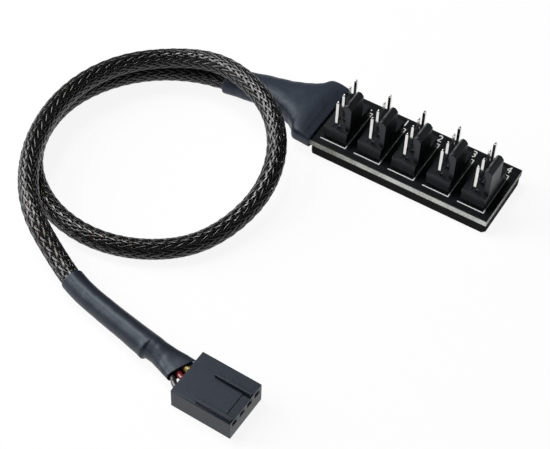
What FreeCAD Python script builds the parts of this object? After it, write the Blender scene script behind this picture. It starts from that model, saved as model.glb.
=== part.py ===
import FreeCAD, Part
import math
import os
import Sketcher

# A fan splitter: a hub board with five four-pin headers, a sleeved lead of four wires and a female plug.
# The origin is the middle of the hub's underside. X runs along the board to its free end, Y across it to
# the back, and Z up. Everything lies on the plane Z = 0, and every size is in millimetres.

HEADERS = 5
WAYS = 4

SIZES = {
    # Hub board, and the foam that it stands on
    "board_length": 47.0,
    "board_width": 17.0,
    "board_thickness": 1.6,
    "foam_thickness": 2.45,
    "foam_inset": 0.05,
    "foam_corner": 0.6,
    "foam_relief": 0.3,
    # Headers: rows of four posts, spread evenly between the gaps at the cable end and at the free end
    "header_start_gap": 8.48,
    "header_end_gap": 5.2,
    "header_shift": -0.8,
    "header_length": 10.4,
    "header_front": 2.4,
    "header_back": 3.3,
    "header_base": 3.3,
    "header_corner": 0.3,
    "pin_pitch": 2.54,
    "pin_size": 0.64,
    "pin_height": 10.8,
    "pin_tail": 1.3,
    "pin_point": 0.34,
    "pin_taper": 0.5,
    "seat_size": 1.3,
    "seat_depth": 0.3,
    # Friction lock on each header
    "lock_height": 10.7,
    "lock_width": 5.4,
    "lock_wall": 1.2,
    "lock_land": 0.35,
    "lock_slope": 1.0,
    "lock_bump": 0.6,
    "lock_lead": 0.8,
    "lock_ramp": 1.6,
    "lock_corner": 0.45,
    # Solder joints
    "hole_diameter": 1.05,
    "joint_diameter": 1.9,
    "joint_height": 0.9,
    "joint_foot": 0.15,
    "mound_length": 1.8,
    "mound_width": 1.7,
    "mound_height": 1.05,
    "mound_inset": 0.3,
    "mound_slope": 0.3,
    "mound_foot": 0.15,
    # Wires
    "wire_diameter": 1.24,
    "core_diameter": 0.6,
    # Heat-shrink boot on the board's end and heat-shrink tube at the plug
    "shrink_wall": 0.5,
    "shrink_play": 0.15,
    "boot_cover": 4.35,
    "boot_shoulder": 11.6,
    "mouth_play": 0.25,
    # Plug housing
    "plug_length": 13.6,
    "plug_width": 10.9,
    "plug_height": 5.2,
    "plug_corner": 0.25,
    "contact_drop": 1.35,
    "rail_width": 0.8,
    "rail_height": 0.9,
    "rail_length": 8.4,
    "rail_play": 0.25,
    "step_length": 1.8,
    "step_depth": 0.35,
    "front_wall": 0.9,
    "opening_width": 1.1,
    "opening_height": 0.75,
    "opening_lead": 0.3,
    "window_place": 7.6,
    "window_length": 2.4,
    "window_width": 1.1,
    # Crimped terminals in the plug
    "terminal_metal": 0.25,
    "terminal_play": 0.1,
    "jacket_place": 1.9,
    "jacket_crimp": 1.4,
    "core_crimp": 1.8,
    "crimp_gap": 0.5,
    "crimp_play": 0.02,
    "lance_length": 1.3,
    "lance_drop": 0.7,
    # Where the plug lies: the middle of its rear face, and its turn about Z in degrees
    "plug_x": -8.0,
    "plug_y": -73.6,
    "plug_turn": -1.5,
}

# The lead's middle line, from inside the boot to the sleeve's end in the plug's shrink tube: X and Y in
# millimetres, and the height in sleeve diameters, because the second turn lies on the first.
ROUTE = (
    (-31.0, -0.5, 0.74),
    (-42.0, -2.0, 0.70),
    (-52.5, -3.5, 0.52),
    (-61.5, -9.0, 0.52),
    (-68.0, -17.0, 0.52),
    (-71.5, -27.0, 0.52),
    (-70.5, -38.0, 0.52),
    (-65.5, -47.0, 0.52),
    (-56.0, -53.5, 0.52),
    (-45.0, -55.5, 0.52),
    (-34.5, -53.0, 0.52),
    (-25.5, -46.5, 0.55),
    (-21.0, -37.5, 0.68),
    (-19.5, -27.0, 0.98),
    (-22.0, -17.0, 1.41),
    (-28.0, -9.5, 1.95),
    (-37.5, -5.0, 2.14),
    (-47.0, -3.0, 1.86),
    (-56.0, -6.0, 1.59),
    (-64.0, -13.0, 1.59),
    (-68.5, -22.0, 1.59),
    (-69.5, -32.5, 1.59),
    (-67.0, -43.5, 1.59),
    (-61.5, -53.0, 1.59),
    (-55.0, -59.5, 1.50),
    (-47.0, -63.5, 0.93),
    (-38.5, -67.4, 0.68),
    (-28.2, -69.6, 0.66),
    (-17.6, -71.55, 0.66),
)

WIRES = ("ground", "supply", "sense", "control")

# How a bend's radius uses its shorter run, as a share of the run
BEND_SHARE = 0.45

Vector = FreeCAD.Vector
UP = Vector(0, 0, 1)

doc = FreeCAD.newDocument("fan_splitter")
sheet = doc.addObject("Spreadsheet::Sheet", "Sizes")
for row, (alias, value) in enumerate(SIZES.items(), start=1):
    sheet.set(f"A{row}", alias.replace("_", " "))
    sheet.set(f"B{row}", str(value))
    sheet.setAlias(f"B{row}", alias)
doc.recompute()

nodes = {}


def formula(text):
    """An expression in the sheet's aliases, written so that any object can use it."""
    words = [f"Sizes.{w}" if w in SIZES else w for w in text.split()]
    return " ".join(words)


def number(text):
    return float(sheet.evalExpression(formula(text)))


def bind(thing, path, text):
    thing.setExpression(path, formula(text))


def keep(label, thing):
    """Record a sub-part under the name that its file takes."""
    thing.Label = label
    nodes[label] = thing
    return thing


def place(thing, x, y, z):
    for axis, text in zip("xyz", (x, y, z)):
        bind(thing, f"Placement.Base.{axis}", text)


def origin_part(body, role):
    return next(f for f in body.Origin.OriginFeatures if f.Role == role)


def new_body(label):
    body = doc.addObject("PartDesign::Body", label)
    return keep(label, body)


def new_sketch(body, role, x="0", y="0", z="0"):
    """A sketch on an origin plane, moved along the plane's own axes."""
    sketch = body.newObject("Sketcher::SketchObject", "Sketch")
    sketch.AttachmentSupport = [(origin_part(body, role), "")]
    sketch.MapMode = "FlatFace"
    for axis, text in zip("xyz", (x, y, z)):
        bind(sketch, f"AttachmentOffset.Base.{axis}", text)
    return sketch


def outline(sketch, corners):
    """A closed outline with straight sides, each corner a pair of formulas."""
    points = [Vector(number(x), number(y), 0) for x, y in corners]
    first = sketch.GeometryCount
    count = len(points)
    for i, point in enumerate(points):
        sketch.addGeometry(Part.LineSegment(point, points[(i + 1) % count]))
    for i in range(count):
        sketch.addConstraint(Sketcher.Constraint("Coincident", first + i, 2, first + (i + 1) % count, 1))
    for i, (corner, point) in enumerate(zip(corners, points)):
        for kind, text, value in (("DistanceX", corner[0], point.x), ("DistanceY", corner[1], point.y)):
            c = sketch.addConstraint(Sketcher.Constraint(kind, -1, 1, first + i, 1, value))
            bind(sketch, f"Constraints[{c}]", text)


def rectangle(sketch, width, height):
    half_x = f"( {width} ) / 2"
    half_y = f"( {height} ) / 2"
    less_x = f"0 - ( {width} ) / 2"
    less_y = f"0 - ( {height} ) / 2"
    outline(sketch, ((less_x, less_y), (half_x, less_y), (half_x, half_y), (less_x, half_y)))


def octagon(sketch, across):
    """Eight sides about the sketch's origin, for small round work that repeats."""
    corners = []
    for side in range(8):
        angle = (side + 0.5) * math.pi / 4
        x, y = (f"( {across} ) * {turn(angle) / 2:.6f}" for turn in (math.cos, math.sin))
        corners.append((x, y))
    outline(sketch, corners)


def rounded(sketch, width, height, radius):
    """A rectangle about the sketch's origin, each corner rounded in one flat that lies on the round."""
    cut = f"( {radius} ) * {2 - math.sqrt(2):.6f}"
    corners = []
    for side_x, side_y in ((1, 1), (-1, 1), (-1, -1), (1, -1)):
        upright = (f"{side_x} * ( {width} ) / 2", f"{side_y} * ( ( {height} ) / 2 - {cut} )")
        level = (f"{side_x} * ( ( {width} ) / 2 - {cut} )", f"{side_y} * ( {height} ) / 2")
        corners += (upright, level) if side_x == side_y else (level, upright)
    outline(sketch, corners)


def pad(body, sketch, length, both_ways=False):
    feature = body.newObject("PartDesign::Pad", "Pad")
    feature.Profile = sketch
    feature.Midplane = both_ways
    bind(feature, "Length", length)
    doc.recompute()
    return feature


def pocket(body, sketch, length, forward=True):
    """A cut along the sketch's normal, or against it, that has to take something away."""
    before = body.Shape.Volume
    feature = body.newObject("PartDesign::Pocket", "Pocket")
    feature.Profile = sketch
    feature.Reversed = forward
    bind(feature, "Length", length)
    doc.recompute()
    if body.Shape.Volume >= before:
        raise ValueError(f"a cut in {body.Label} takes nothing away")
    return feature


def loft(body, sketches, kind="AdditiveLoft", ruled=False):
    feature = body.newObject(f"PartDesign::{kind}", "Loft")
    feature.Profile = sketches[0]
    feature.Sections = list(sketches[1:])
    feature.Ruled = ruled
    doc.recompute()
    return feature


def fillet(body, radius, chosen):
    """Round the edges of the body so far for which chosen(edge) is true."""
    base = body.Tip
    names = [f"Edge{i}" for i, edge in enumerate(base.Shape.Edges, start=1) if chosen(edge)]
    feature = body.newObject("PartDesign::Fillet", "Fillet")
    feature.Base = (base, names)
    bind(feature, "Radius", radius)
    doc.recompute()
    return feature


def point(body, across, down, chosen):
    """Taper the chosen end edges: by one distance across the end face and by another down the sides."""
    base = body.Tip
    names = [f"Edge{i}" for i, edge in enumerate(base.Shape.Edges, start=1) if chosen(edge)]
    feature = body.newObject("PartDesign::Chamfer", "Point")
    feature.Base = (base, names)
    feature.ChamferType = "Two distances"
    feature.FlipDirection = True
    bind(feature, "Size", across)
    bind(feature, "Size2", down)
    doc.recompute()
    return feature


def row(body, features, *directions):
    """Repeat features, or the whole body if none are named, along axis roles, each with a pitch and a count."""
    pattern = body.newObject("PartDesign::LinearPattern", "Row")
    if features:
        pattern.Originals = features
    else:
        pattern.TransformMode = "Whole shape"
    for suffix, (role, pitch, count) in zip(("", "2"), directions):
        setattr(pattern, f"Direction{suffix}", (origin_part(body, role), [""]))
        setattr(pattern, f"Occurrences{suffix}", count)
        bind(pattern, f"Length{suffix}", f"( {pitch} ) * {count - 1}")
    body.Tip = pattern
    doc.recompute()
    return pattern


def along(edge, axis):
    """Whether a straight edge runs along an axis."""
    if not isinstance(edge.Curve, (Part.Line, Part.LineSegment)):
        return False
    start, end = (v.Point for v in edge.Vertexes)
    return abs((end - start).normalize().dot(axis)) > 0.999


BOARD_TOP = "( foam_thickness + board_thickness )"
HEADER_PITCH = f"( ( board_length - header_start_gap - header_end_gap ) / {HEADERS - 1} )"
FIRST_HEADER = "( header_start_gap - board_length / 2 )"
FIRST_PIN = f"( header_shift - {(WAYS - 1) / 2} * pin_pitch )"
CABLE_END = "( 0 - board_length / 2 )"
LOCK_FACE = "( header_back - lock_wall )"


def circuit_board():
    body = new_body("circuit_board")
    sheet_outline = new_sketch(body, "XY_Plane", z="foam_thickness")
    rectangle(sheet_outline, "board_length", "board_width")
    pad(body, sheet_outline, "board_thickness")
    hole = new_sketch(body, "XY_Plane", FIRST_HEADER, FIRST_PIN, "foam_thickness")
    octagon(hole, "hole_diameter")
    drilled = pocket(body, hole, "board_thickness")
    row(body, [drilled], ("Y_Axis", "pin_pitch", WAYS), ("X_Axis", HEADER_PITCH, HEADERS))


def foam_pad():
    body = new_body("foam_pad")
    length = "( board_length - boot_cover - foam_inset - shrink_play )"
    middle = f"board_length / 2 - foam_inset - {length} / 2"
    pad_outline = new_sketch(body, "XY_Plane", x=middle)
    rectangle(pad_outline, length, "board_width - 2 * foam_inset")
    pad(body, pad_outline, "foam_thickness")
    fillet(body, "foam_corner", lambda edge: along(edge, UP))
    # The foam gives way round the pin tails: one relief under each header.
    tails = new_sketch(body, "XY_Plane", FIRST_HEADER, "header_shift", "foam_thickness")
    relief_width = "joint_diameter + 2 * foam_relief"
    rectangle(tails, relief_width, f"{WAYS - 1} * pin_pitch + {relief_width}")
    relief = pocket(body, tails, "pin_tail + foam_relief", forward=False)
    row(body, [relief], ("X_Axis", HEADER_PITCH, HEADERS))


def header_place(thing, header, way=None):
    x = f"{FIRST_HEADER} + {header} * {HEADER_PITCH}"
    y = "header_shift" if way is None else f"{FIRST_PIN} + {way} * pin_pitch"
    place(thing, x, y, BOARD_TOP)


def header_housing(header):
    """The moulded base of one header, with the wall that locks the plug beside its first three posts."""
    body = new_body(f"header_{header + 1}_housing")
    depth = "( header_front + header_back )"
    base = new_sketch(body, "XY_Plane", x="( header_back - header_front ) / 2")
    rectangle(base, depth, "header_length")
    pad(body, base, "header_base")
    fillet(body, "header_corner", lambda edge: along(edge, UP))
    # The lock's section, drawn in the XZ plane, whose normal is -Y
    lock = new_sketch(body, "XZ_Plane", z="pin_pitch / 2")
    bump_face = f"{LOCK_FACE} - lock_bump"
    outline(
        lock,
        (
            (LOCK_FACE, "header_base"),
            ("header_back", "header_base"),
            ("header_back", "lock_height - lock_slope"),
            (f"{LOCK_FACE} + lock_land", "lock_height"),
            (LOCK_FACE, "lock_height"),
            (bump_face, "lock_height - lock_lead"),
            (bump_face, "lock_height - 2 * lock_lead"),
            (LOCK_FACE, "lock_height - 2 * lock_lead - lock_ramp"),
        ),
    )
    pad(body, lock, "lock_width", both_ways=True)
    top = number("lock_height")
    ends = number("lock_land") * 1.5
    fillet(
        body,
        "lock_corner",
        lambda edge: along(edge, Vector(1, 0, 0)) and edge.CenterOfMass.z > top - 0.01 and edge.Length < ends,
    )
    first_pin = f"0 - {(WAYS - 1) / 2} * pin_pitch"
    bore = new_sketch(body, "XY_Plane", y=first_pin)
    rectangle(bore, "pin_size", "pin_size")
    bored = pocket(body, bore, "header_base")
    seat = new_sketch(body, "XY_Plane", y=first_pin, z="header_base")
    rectangle(seat, "seat_size", "seat_size")
    seated = pocket(body, seat, "seat_depth", forward=False)
    row(body, [bored, seated], ("Y_Axis", "pin_pitch", WAYS))
    header_place(body, header)


def header_pin(header, way):
    """A square post with both ends tapered."""
    body = new_body(f"header_{header + 1}_pin_{way + 1}")
    section = new_sketch(body, "XY_Plane", z="0 - board_thickness - pin_tail")
    rectangle(section, "pin_size", "pin_size")
    pad(body, section, "pin_height + board_thickness + pin_tail")
    point(body, "( pin_size - pin_point ) / 2", "pin_taper", lambda edge: not along(edge, UP))
    header_place(body, header, way)


def header_solder(header):
    """The joints of one header's four pins: cones of solder under the board."""
    body = new_body(f"header_{header + 1}_solder")
    first_pin = f"0 - {(WAYS - 1) / 2} * pin_pitch"
    joint = new_sketch(body, "XY_Plane", y=first_pin, z="0 - board_thickness - joint_height")
    octagon(joint, "joint_diameter")
    pad(body, joint, "joint_height")
    tip = 0.01 - number("board_thickness + joint_height")
    slope = f"( joint_diameter - hole_diameter ) / 2 * {math.cos(math.pi / 8):.6f}"
    point(body, slope, "joint_height - joint_foot", lambda edge: edge.CenterOfMass.z < tip)
    post = new_sketch(body, "XY_Plane", y=first_pin, z="0 - board_thickness")
    rectangle(post, "pin_size", "pin_size")
    pocket(body, post, "joint_height", forward=False)
    row(body, None, ("Y_Axis", "pin_pitch", WAYS))
    header_place(body, header)


def wire_solder():
    """The four mounds of solder that hold the wire ends on the board's pads."""
    body = new_body("wire_solder")
    mound = new_sketch(body, "XY_Plane", y=f"0 - {(WAYS - 1) / 2} * pin_pitch")
    rectangle(mound, "mound_length", "mound_width")
    pad(body, mound, "mound_height")
    crown = number("mound_height") - 0.01
    point(body, "mound_slope", "mound_height - mound_foot", lambda edge: edge.CenterOfMass.z > crown)
    row(body, None, ("Y_Axis", "pin_pitch", WAYS))
    place(body, f"{CABLE_END} + mound_inset + mound_length / 2", "0", BOARD_TOP)


def bent_path(points):
    """Straight edges between points, joined by tangent arcs as large as the shorter runs allow."""
    edges = []
    radii = []
    start = points[0]
    for before, corner, after in zip(points, points[1:], points[2:]):
        come = corner - before
        go = after - corner
        turn = come.getAngle(go)
        reach = BEND_SHARE * min(come.Length, go.Length)
        entry = corner - Vector(come).normalize() * reach
        leave = corner + Vector(go).normalize() * reach
        radius = reach / math.tan(turn / 2)
        inward = (entry + leave) * 0.5 - corner
        depth = radius * (1 / math.cos(turn / 2) - 1)
        middle = corner + inward.normalize() * depth
        edges.append(Part.LineSegment(start, entry).toShape())
        edges.append(Part.Arc(entry, middle, leave).toShape())
        radii.append(radius)
        start = leave
    edges.append(Part.LineSegment(start, points[-1]).toShape())
    return edges, radii


def across(heading):
    """The level direction to the left of a heading, and the direction square to both."""
    left = UP.cross(heading).normalize()
    return left, heading.cross(left)


def in_plug(x, y, z):
    """A point given from the middle of the plug's rear face on the floor, in the part's frame."""
    turn = FreeCAD.Rotation(UP, number("plug_turn"))
    return turn.multVec(Vector(x, y, z)) + Vector(number("plug_x"), number("plug_y"), 0)


# A sleeve closes round four wires at this many wire diameters.
SLEEVE_SIZE = "( 3.55 * wire_diameter )"
SLEEVE_SIDES = 8

sleeve_size = number(SLEEVE_SIZE)
route = [Vector(x, y, height * sleeve_size) for x, y, height in ROUTE]
lead, lead_radii = bent_path(route)
lead_length = sum(edge.Length for edge in lead)
lead_end = route[-1]
end_heading = lead[-1].tangentAt(lead[-1].LastParameter)


def lead_station(distance):
    """The point and the heading at a distance along the lead, or straight on past its end."""
    for edge in lead:
        if distance <= edge.Length:
            at = edge.getParameterByLength(distance)
            return edge.valueAt(at), edge.tangentAt(at)
        distance -= edge.Length
    return lead_end + end_heading * distance, end_heading


def cable_sleeve():
    """The sleeved bundle, solid because the sleeve hides the wires inside it."""
    start, heading = lead_station(0)
    left, up = across(heading)
    corners = []
    for side in range(SLEEVE_SIDES):
        angle = 2 * math.pi * side / SLEEVE_SIDES
        corners.append(start + (left * math.cos(angle) + up * math.sin(angle)) * (sleeve_size / 2))
    section = Part.Face(Part.makePolygon(corners + corners[:1]))
    swept = Part.Wire(lead).makePipe(section)
    sleeve = doc.addObject("Part::Feature", "cable_sleeve")
    sleeve.Shape = swept
    keep("cable_sleeve", sleeve)
    filled = swept.Volume / section.Area / lead_length
    print(f"sleeve: {lead_length:.1f} mm long, {filled:.4f} of its section times that")
    print("bend radii:", " ".join(f"{radius:.1f}" for radius in lead_radii))


def facing(body, point, heading):
    """A sketch square to a heading, with its own X to the left and its Y upward."""
    left, up = across(heading)
    sketch = new_sketch(body, "XY_Plane")
    for axis in "xyz":
        sketch.setExpression(f"AttachmentOffset.Base.{axis}", None)
    sketch.AttachmentOffset = FreeCAD.Placement(point, FreeCAD.Rotation(left, up, heading, "XYZ"))
    return sketch


def rod(body, stations, diameter):
    """A rod through stations, each a point and a heading."""
    sections = []
    for point, heading in stations:
        section = facing(body, point, heading)
        octagon(section, diameter)
        sections.append(section)
    return loft(body, sections, ruled=True)


# How the wires stagger at the sleeve's end faces, in wire diameters to the left of the lead and up
BUNDLE = ((-1.21, -0.34), (-0.445, 0.34), (0.445, -0.34), (1.21, 0.34))
# The flat row of wires in the mouth of the plug's tube, in wire diameters: its pitch and its lift
ROW_PITCH = 1.21
ROW_LIFT = 0.36
# Where the wires bend, in millimetres: off the board's end, past the tube's mouth and inside the plug
BOARD_STRAIGHT = 1.9
MOUTH_STRAIGHT = 0.05
PLUG_STRAIGHT = 0.3


def bundle_place(way, point, heading):
    left, up = across(heading)
    sideways, upward = BUNDLE[way]
    width = number("wire_diameter")
    return point + left * (sideways * width) + up * (upward * width)


def board_wire(way):
    """The end of one wire, from the sleeve to its pad on the board."""
    # Ways are counted from -Y at the plug. The lead turns round, so they are counted from +Y at the board.
    y = -(way - (WAYS - 1) / 2) * number("pin_pitch")
    z = number(BOARD_TOP) + number("wire_diameter") / 2
    point, heading = lead_station(0)
    ahead = Vector(-1, 0, 0)
    stations = (
        (Vector(number(f"{CABLE_END} + mound_inset"), y, z), ahead),
        (Vector(number(CABLE_END) - BOARD_STRAIGHT, y, z), ahead),
        (bundle_place(way, point, heading), heading),
    )
    rod(new_body(f"board_wire_{WIRES[way]}"), stations, "wire_diameter")


def plug_wire(way):
    """The end of one wire, from the sleeve through the tube's mouth to its terminal."""
    width = number("wire_diameter")
    slot = way - (WAYS - 1) / 2
    y = slot * number("pin_pitch")
    left, up = across(end_heading)
    mouth, _ = lead_station(lead_length + TUBE_MOUTH + MOUTH_STRAIGHT)
    ahead = in_plug(1, 0, 0) - in_plug(0, 0, 0)
    height = number("plug_height - contact_drop")
    jacket_end = in_plug(number("jacket_place + jacket_crimp"), y, height)
    stations = (
        (bundle_place(way, lead_end, end_heading), end_heading),
        (mouth + left * (slot * ROW_PITCH * width) + up * (ROW_LIFT * width), end_heading),
        (in_plug(PLUG_STRAIGHT, y, height), ahead),
        (jacket_end, ahead),
    )
    body = new_body(f"plug_wire_{WIRES[way]}")
    rod(body, stations, "wire_diameter")
    core = facing(body, jacket_end, ahead)
    octagon(core, "core_diameter")
    pad(body, core, "crimp_gap")


def shrink_shell(body, sections):
    """A wall of shrink tube: each section has a sketch's maker, an inner width and height, and a corner."""
    for wall, kind in (("shrink_wall", "AdditiveLoft"), ("0", "SubtractiveLoft")):
        sketches = []
        for make_sketch, width, height, corner in sections:
            sketch = make_sketch()
            rounded(sketch, f"{width} + 2 * {wall}", f"{height} + 2 * {wall}", f"{corner} + {wall}")
            sketches.append(sketch)
        loft(body, sketches, kind, ruled=True)


SNUG = f"{SLEEVE_SIZE} + 2 * shrink_play"
SNUG_CORNER = f"{SLEEVE_SIZE} / 2"
FLAT_CORNER = "0.25"
# The boot's taper in millimetres: its shoulder past the board's end, and along the lead with the extra width
BOOT_SHOULDER = 2.4
BOOT_TAPER = ((0, 2.4), (4.5, 1.3), (13.1, 0.6))


def board_shrink():
    """The shrink boot, flat over the board's end and nearly round on the lead."""
    body = new_body("board_shrink")
    bottom = "( foam_thickness - shrink_play )"
    flat = "( board_thickness + 2 * shrink_play )"
    full = "( board_thickness + mound_height + 4 * shrink_play )"
    wide = "board_width + 2 * shrink_play"
    joints = f"{CABLE_END} + mound_inset + mound_length + 2 * shrink_play"

    def over_board(x, height):
        return lambda: new_sketch(body, "YZ_Plane", "0", f"{bottom} + {height} / 2", x)

    def on_lead(distance):
        point, heading = lead_station(distance)
        return lambda: facing(body, point, heading * -1)

    shoulder = f"{CABLE_END} - {BOOT_SHOULDER}"
    sections = [
        (over_board(f"{CABLE_END} + boot_cover", flat), wide, flat, FLAT_CORNER),
        (over_board(joints, full), wide, full, FLAT_CORNER),
        (over_board(f"{CABLE_END} - shrink_play", full), wide, full, FLAT_CORNER),
        (over_board(shoulder, full), "boot_shoulder", f"{full} + 4 * shrink_play", "1.4"),
    ]
    for distance, extra in BOOT_TAPER:
        sections.append((on_lead(distance), f"{SNUG} + {extra}", SNUG, SNUG_CORNER))
    shrink_shell(body, sections)


# The plug's shrink tube in millimetres: stations back from the sleeve's end, its step and its mouth past it
TUBE_BACK = (23.4, 20.4, 16.4, 11.4, 5.4, -0.3)
TUBE_STEP = 2.4
TUBE_MOUTH = 8.05


def plug_shrink():
    """The shrink tube over the sleeve's end, drawn down to a flat mouth round the four wires."""
    body = new_body("plug_shrink")

    def on_lead(distance, lift=0):
        point, heading = lead_station(lead_length + distance)
        return lambda: facing(body, point + UP * (lift * number("wire_diameter")), heading)

    sections = [(on_lead(-back), SNUG, SNUG, SNUG_CORNER) for back in TUBE_BACK]
    bulge = ("4.3 * wire_diameter", "3.3 * wire_diameter", "1.45 * wire_diameter")
    sections.append((on_lead(TUBE_STEP), *bulge))
    row_width = f"{(WAYS - 1) * ROW_PITCH + 1} * wire_diameter + 2 * mouth_play"
    row_height = "wire_diameter + 2 * mouth_play"
    sections.append((on_lead(TUBE_MOUTH, ROW_LIFT), row_width, row_height, "wire_diameter / 2"))
    shrink_shell(body, sections)


TERMINAL_SIZE = "( wire_diameter + 2 * terminal_metal + crimp_play )"
CAVITY_SIZE = f"( {TERMINAL_SIZE} + 2 * terminal_play )"
CONTACT_HEIGHT = "( plug_height - contact_drop )"
FIRST_WAY = f"( 0 - {(WAYS - 1) / 2} * pin_pitch )"
# An octagon's width across its corners, where its sides are one apart
FLATS = 1 / math.cos(math.pi / 8)
RECEPTACLE_START = "( jacket_place + jacket_crimp + core_crimp + 2 * crimp_gap )"


def plug_place(thing, x="0", y="0", z="0"):
    """Put a piece at a place given from the plug's rear face, turned as the plug is."""
    turn = FreeCAD.Rotation(UP, number("plug_turn"))
    thing.Placement.Rotation = turn
    cosine = "cos( plug_turn * 1deg )".replace("plug_turn", "Sizes.plug_turn")
    sine = "sin( plug_turn * 1deg )".replace("plug_turn", "Sizes.plug_turn")
    bind(thing, "Placement.Base.x", f"plug_x + ( {x} ) * {cosine} - ( {y} ) * {sine}")
    bind(thing, "Placement.Base.y", f"plug_y + ( {x} ) * {sine} + ( {y} ) * {cosine}")
    bind(thing, "Placement.Base.z", z)


def plug_housing():
    """The moulded plug, with guide rails that pass either side of a header's lock."""
    body = new_body("plug_housing")
    block = new_sketch(body, "YZ_Plane", y="plug_height / 2")
    rectangle(block, "plug_width", "plug_height")
    pad(body, block, "plug_length")
    fillet(body, "plug_corner", lambda edge: along(edge, Vector(1, 0, 0)))
    # The rails stand clear of the lock, whose middle is beside the second way.
    clear = "( lock_width / 2 + rail_play )"
    start = "plug_length - rail_length"
    end = "plug_length - plug_corner"
    rails = new_sketch(body, "XY_Plane", y="0 - pin_pitch / 2", z="plug_height")
    for near, far in ((clear, f"{clear} + rail_width"), (f"0 - {clear} - rail_width", f"0 - {clear}")):
        outline(rails, ((start, near), (end, near), (end, far), (start, far)))
    pad(body, rails, "rail_height")
    step = new_sketch(body, "XY_Plane", y="0 - pin_pitch / 2", z="plug_height")
    low = "plug_length - step_length"
    left_side = f"0 - {clear}"
    outline(step, ((low, left_side), ("plug_length", left_side), ("plug_length", clear), (low, clear)))
    pocket(body, step, "step_depth", forward=False)
    cavity = new_sketch(body, "YZ_Plane", FIRST_WAY, CONTACT_HEIGHT)
    rectangle(cavity, CAVITY_SIZE, CAVITY_SIZE)
    hollow = pocket(body, cavity, "plug_length - front_wall")
    opening = new_sketch(body, "YZ_Plane", FIRST_WAY, CONTACT_HEIGHT, "plug_length - front_wall")
    rectangle(opening, "opening_width", "opening_height")
    opened = pocket(body, opening, "front_wall")
    leads = []
    for depth, extra in (("0", "2 * opening_lead"), ("opening_lead", "0")):
        lead_in = new_sketch(body, "YZ_Plane", FIRST_WAY, CONTACT_HEIGHT, f"plug_length - {depth}")
        rectangle(lead_in, f"opening_width + {extra}", f"opening_height + {extra}")
        leads.append(lead_in)
    flared = loft(body, leads, "SubtractiveLoft", ruled=True)
    window = new_sketch(body, "XY_Plane", "window_place + window_length / 2", FIRST_WAY)
    rectangle(window, "window_length", "window_width")
    pierced = pocket(body, window, f"{CONTACT_HEIGHT} - {CAVITY_SIZE} / 2")
    row(body, [hollow, opened, flared, pierced], ("Y_Axis", "pin_pitch", WAYS))
    plug_place(body)


def plug_terminal(way):
    """A folded sheet-metal contact: a square receptacle, and two crimps on a strip."""
    body = new_body(f"plug_terminal_{way + 1}")
    length = f"plug_length - front_wall - terminal_play - {RECEPTACLE_START}"
    box = new_sketch(body, "YZ_Plane", z=RECEPTACLE_START)
    rectangle(box, TERMINAL_SIZE, TERMINAL_SIZE)
    inner = f"{TERMINAL_SIZE} - 2 * terminal_metal"
    rectangle(box, inner, inner)
    pad(body, box, length)
    floor = f"0 - {TERMINAL_SIZE} / 2 + terminal_metal / 2"
    strip = new_sketch(body, "YZ_Plane", y=floor, z="jacket_place")
    rectangle(strip, "wire_diameter", "terminal_metal")
    pad(body, strip, f"{RECEPTACLE_START} - jacket_place")
    # The jacket's crimp is open for the wire, and the core's is closed on it.
    jacket = new_sketch(body, "YZ_Plane", z="jacket_place")
    octagon(jacket, f"( {TERMINAL_SIZE} ) * {FLATS:.4f}")
    octagon(jacket, f"( wire_diameter + crimp_play ) * {FLATS:.4f}")
    pad(body, jacket, "jacket_crimp")
    core = new_sketch(body, "YZ_Plane", z="jacket_place + jacket_crimp + crimp_gap")
    octagon(core, "wire_diameter + terminal_metal")
    pad(body, core, "core_crimp")
    # The lance springs into the housing's window.
    lance = new_sketch(body, "XZ_Plane", z="0 - 0")
    tip = "window_place + terminal_play"
    under = f"0 - {TERMINAL_SIZE} / 2"
    lowest = f"{under} - lance_drop"
    outline(
        lance,
        (
            (tip, f"{under} + terminal_metal / 2"),
            (tip, lowest),
            (f"{tip} + terminal_metal", lowest),
            (f"{tip} + lance_length", f"{under} + terminal_metal / 2"),
        ),
    )
    pad(body, lance, "window_width - 2 * terminal_play", both_ways=True)
    slot = f"{way - (WAYS - 1) / 2} * pin_pitch"
    plug_place(body, "0", slot, CONTACT_HEIGHT)


circuit_board()
foam_pad()
for header_index in range(HEADERS):
    header_housing(header_index)
    for way_index in range(WAYS):
        header_pin(header_index, way_index)
    header_solder(header_index)
wire_solder()
cable_sleeve()
for way_index in range(WAYS):
    board_wire(way_index)
    plug_wire(way_index)
board_shrink()
plug_shrink()
plug_housing()
for way_index in range(WAYS):
    plug_terminal(way_index)
doc.recompute()

failed = [thing.Label for thing in doc.Objects if {"Invalid", "Error"} & set(thing.State)]
if failed:
    raise ValueError(f"these objects failed: {failed}")
for label, thing in nodes.items():
    if thing.Shape.isNull() or not thing.Shape.isValid():
        raise ValueError(f"{label} has no valid shape")

os.makedirs("parts", exist_ok=True)
for label, thing in nodes.items():
    thing.Shape.exportStep(f"parts/{label}.step")
print(f"{len(nodes)} sub-parts written")
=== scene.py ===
import math

import bpy
from mathutils import Matrix, Vector, noise


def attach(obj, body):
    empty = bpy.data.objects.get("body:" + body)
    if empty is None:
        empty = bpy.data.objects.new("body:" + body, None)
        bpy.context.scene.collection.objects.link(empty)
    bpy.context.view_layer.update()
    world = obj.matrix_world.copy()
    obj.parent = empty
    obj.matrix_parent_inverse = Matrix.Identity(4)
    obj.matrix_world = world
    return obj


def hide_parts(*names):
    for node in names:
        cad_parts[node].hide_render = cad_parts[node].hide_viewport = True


# Looks of a fan splitter: a hub board with five headers, a braided lead and a plug

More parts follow.
